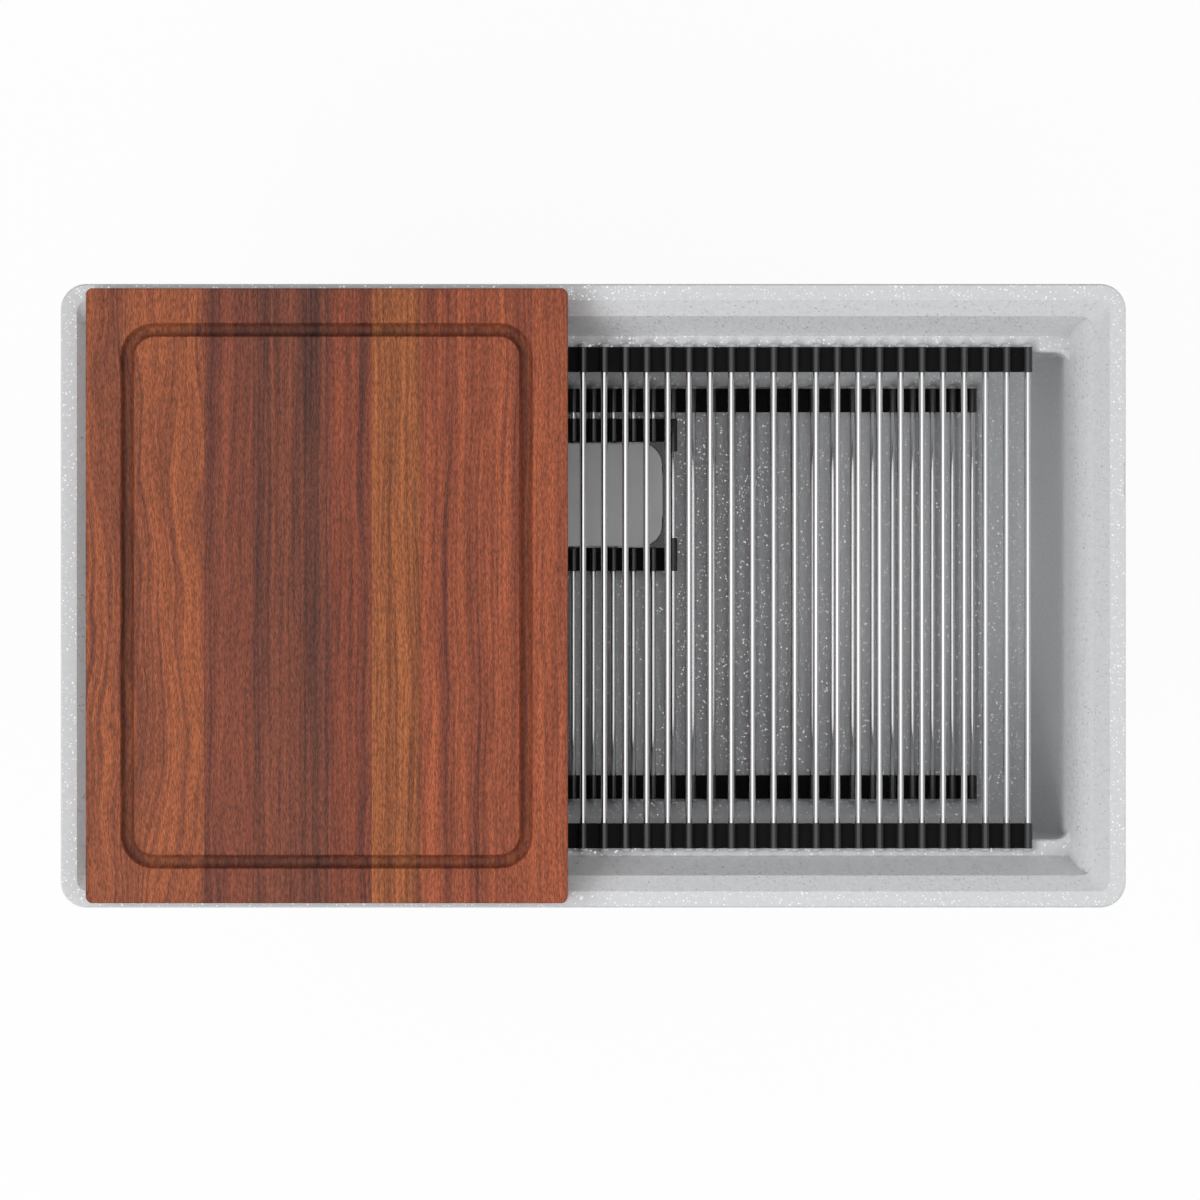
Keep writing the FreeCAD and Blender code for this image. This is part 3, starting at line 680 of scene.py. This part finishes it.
def by_stave(tree, values):
    """Value that changes only from stave to stave, from the left one to the right one."""
    split = tree.nodes.new("ShaderNodeSeparateXYZ")
    tree.links.new(place(tree), split.inputs[0])
    ramp = tree.nodes.new("ShaderNodeValToRGB")
    ramp.color_ramp.interpolation = "CONSTANT"
    tree.links.new(ranged(tree, split.outputs["X"], board_left, board_right), ramp.inputs[0])
    stops = ramp.color_ramp.elements
    edges = [0, 0.2458, 0.3473, 0.5071, 0.5919, 0.6937]
    while len(stops) < len(edges):
        stops.new(1)
    for stop, edge, value in zip(stops, edges, values):
        stop.position = edge
        stop.color = (*value, 1) if isinstance(value, tuple) else (value, value, value, 1)
    return ramp.outputs[0]


def along(tree, across, length, shift):
    """Coordinates drawn out along the grain, moved apart from stave to stave."""
    own = place(tree, (across, length, across * 0.35), shift)
    apart = tree.nodes.new("ShaderNodeCombineXYZ")
    tree.links.new(by_stave(tree, [0.13, 0.87, 0.31, 0.62, 0.05, 0.48]), apart.inputs[1])
    return added(tree, own, scaled(tree, apart.outputs[0], 40))


def bent_by(tree, vector, amount):
    """Moves the coordinates across the grain by amount."""
    side = tree.nodes.new("ShaderNodeCombineXYZ")
    tree.links.new(amount, side.inputs[0])
    return added(tree, vector, side.outputs[0])


def grain(across, length, shift, sway, detail, rough):
    """Value drawn out along the grain, which sways with the swell by this much."""
    ways = bent_by(tree, along(tree, across, length, shift), sums(tree, "MULTIPLY", swell, sway))
    return noise(tree, ways, 1, detail, rough)


swell = noise(tree, along(tree, 14, 6, (3, 0, 0)), 1, 2, 0.5)
swell = sums(tree, "MULTIPLY", sums(tree, "SUBTRACT", swell, 0.5),
             by_stave(tree, [0.9, 0.35, 0.12, 0.25, 0.22, 0.2]))
bands = grain(75, 1.0, (0, 0, 0), 5.0, 4, 0.6)
streaks = grain(330, 5.0, (7, 2, 0), 22.0, 4, 0.65)
fibre = noise(tree, along(tree, 1500, 260, (1, 5, 0)), 1, 2, 0.6)
pores = grain(900, 60, (4, 9, 0), 60.0, 2, 0.5)
tone = sums(tree, "ADD", sums(tree, "MULTIPLY", ranged(tree, bands, 0.36, 0.64), 0.50),
            sums(tree, "MULTIPLY", ranged(tree, streaks, 0.36, 0.64), 0.50))
dark = by_stave(tree, [(0.095, 0.030, 0.024), (0.070, 0.024, 0.021), (0.045, 0.019, 0.017),
                       (0.080, 0.027, 0.021), (0.115, 0.036, 0.019), (0.110, 0.030, 0.021)])
light = by_stave(tree, [(0.40, 0.115, 0.045), (0.27, 0.074, 0.038), (0.24, 0.070, 0.038),
                        (0.31, 0.078, 0.037), (0.46, 0.145, 0.050), (0.43, 0.112, 0.048)])
colour = mixed(tree, tone, dark, light)
colour = mixed(tree, 1.0, colour, ranged(tree, fibre, 0.36, 0.64, 0.52, 1.22), "MULTIPLY")
colour = mixed(tree, ranged(tree, pores, 0.64, 0.74, 0.0, 0.45), colour, (0.045, 0.018, 0.014, 1))
# Painted shade: the colour is darkened to 0.66 below 4.9 mm under the top, in the groove and over
# the board's sides and step.
split = tree.nodes.new("ShaderNodeSeparateXYZ")
tree.links.new(place(tree), split.inputs[0])
painted_groove_shade = ranged(tree, split.outputs["Z"], 0.0205, 0.0250, 0.66, 1.0)
colour = mixed(tree, 1.0, colour, painted_groove_shade, "MULTIPLY")
tree.links.new(colour, shader.inputs["Base Color"])
tree.links.new(ranged(tree, streaks, 0.3, 0.7, 0.55, 0.42), shader.inputs["Roughness"])
relief(tree, shader, fibre, 0.00008, 0.5)


# Plain studio round the object: a pale floor under the tailpiece, a soft sky that is
# brightest half way up, and three soft boxes, to the left, front left and right.

bpy.ops.mesh.primitive_plane_add(size=14, location=(0, 0, -0.4106))
floor = bpy.context.object
floor.name = "studio_floor"
paper = bpy.data.materials.new("studio_floor_paper")
paper.use_nodes = True
tree = paper.node_tree
tree.nodes.remove(tree.nodes["Principled BSDF"])
plain = tree.nodes.new("ShaderNodeBsdfDiffuse")
plain.inputs["Color"].default_value = (0.80, 0.80, 0.80, 1)
glow = tree.nodes.new("ShaderNodeEmission")
path = tree.nodes.new("ShaderNodeLightPath")
reflected = sums(tree, "MAXIMUM", path.outputs["Is Glossy Ray"],
                 path.outputs["Is Transmission Ray"])
seen = sums(tree, "MAXIMUM", path.outputs["Is Camera Ray"], reflected)
blend = tree.nodes.new("ShaderNodeMixShader")
tree.links.new(sums(tree, "MULTIPLY", seen, 0.94), blend.inputs[0])
tree.links.new(plain.outputs[0], blend.inputs[1])
tree.links.new(glow.outputs[0], blend.inputs[2])
tree.links.new(blend.outputs[0], tree.nodes["Material Output"].inputs[0])
floor.data.materials.append(paper)

world = bpy.data.worlds.new("studio_sky")
bpy.context.scene.world = world
world.use_nodes = True
tree = world.node_tree
sky = tree.nodes["Background"]
sky.inputs["Color"].default_value = (1, 1, 1, 1)
ways = tree.nodes.new("ShaderNodeTexCoord")
split = tree.nodes.new("ShaderNodeSeparateXYZ")
tree.links.new(ways.outputs["Generated"], split.inputs[0])
path = tree.nodes.new("ShaderNodeLightPath")
half_way_up = sums(tree, "MULTIPLY", ranged(tree, split.outputs["Z"], 0.42, 0.58),
                   ranged(tree, split.outputs["Z"], 0.80, 0.93, 1.15, 0.0))
overhead = ranged(tree, split.outputs["Z"], 0.70, 0.90, 0.28, 1.2)
glossy = path.outputs["Is Glossy Ray"]
level = sums(tree, "ADD", sums(tree, "MULTIPLY", half_way_up, sums(tree, "SUBTRACT", 1.0, glossy)),
             sums(tree, "MULTIPLY", overhead, glossy))
tree.links.new(sums(tree, "MAXIMUM", level, path.outputs["Is Camera Ray"]), sky.inputs["Strength"])


bowl_middle = Vector((0, 0, -0.05))


def soft_box(name, where, power, size=1.4):
    """Square area lamp, turned towards the bowl, that the camera doesn't see."""
    bpy.ops.object.light_add(type="AREA", location=where)
    lamp = bpy.context.object
    lamp.name = name
    lamp.data.size = size
    lamp.data.energy = power
    lamp.rotation_mode = "QUATERNION"
    lamp.rotation_quaternion = (bowl_middle - Vector(where)).to_track_quat("-Z", "Y")
    lamp.visible_camera = False
    lamp.visible_glossy = False


soft_box("box_left", (-1.84, 0, 1.79), 17)
soft_box("box_front_left", (-1.30, -1.30, 1.79), 24)
soft_box("box_right", (2.44, 0, 0.84), 28)

bpy.ops.object.camera_add(location=(0.00495, -0.00314, 3.2), rotation=(0, 0, 0))
camera = bpy.context.object
camera.data.sensor_width = 36
camera.data.lens = 129.9
bpy.context.scene.camera = camera
bpy.context.scene.view_settings.view_transform = "Standard"
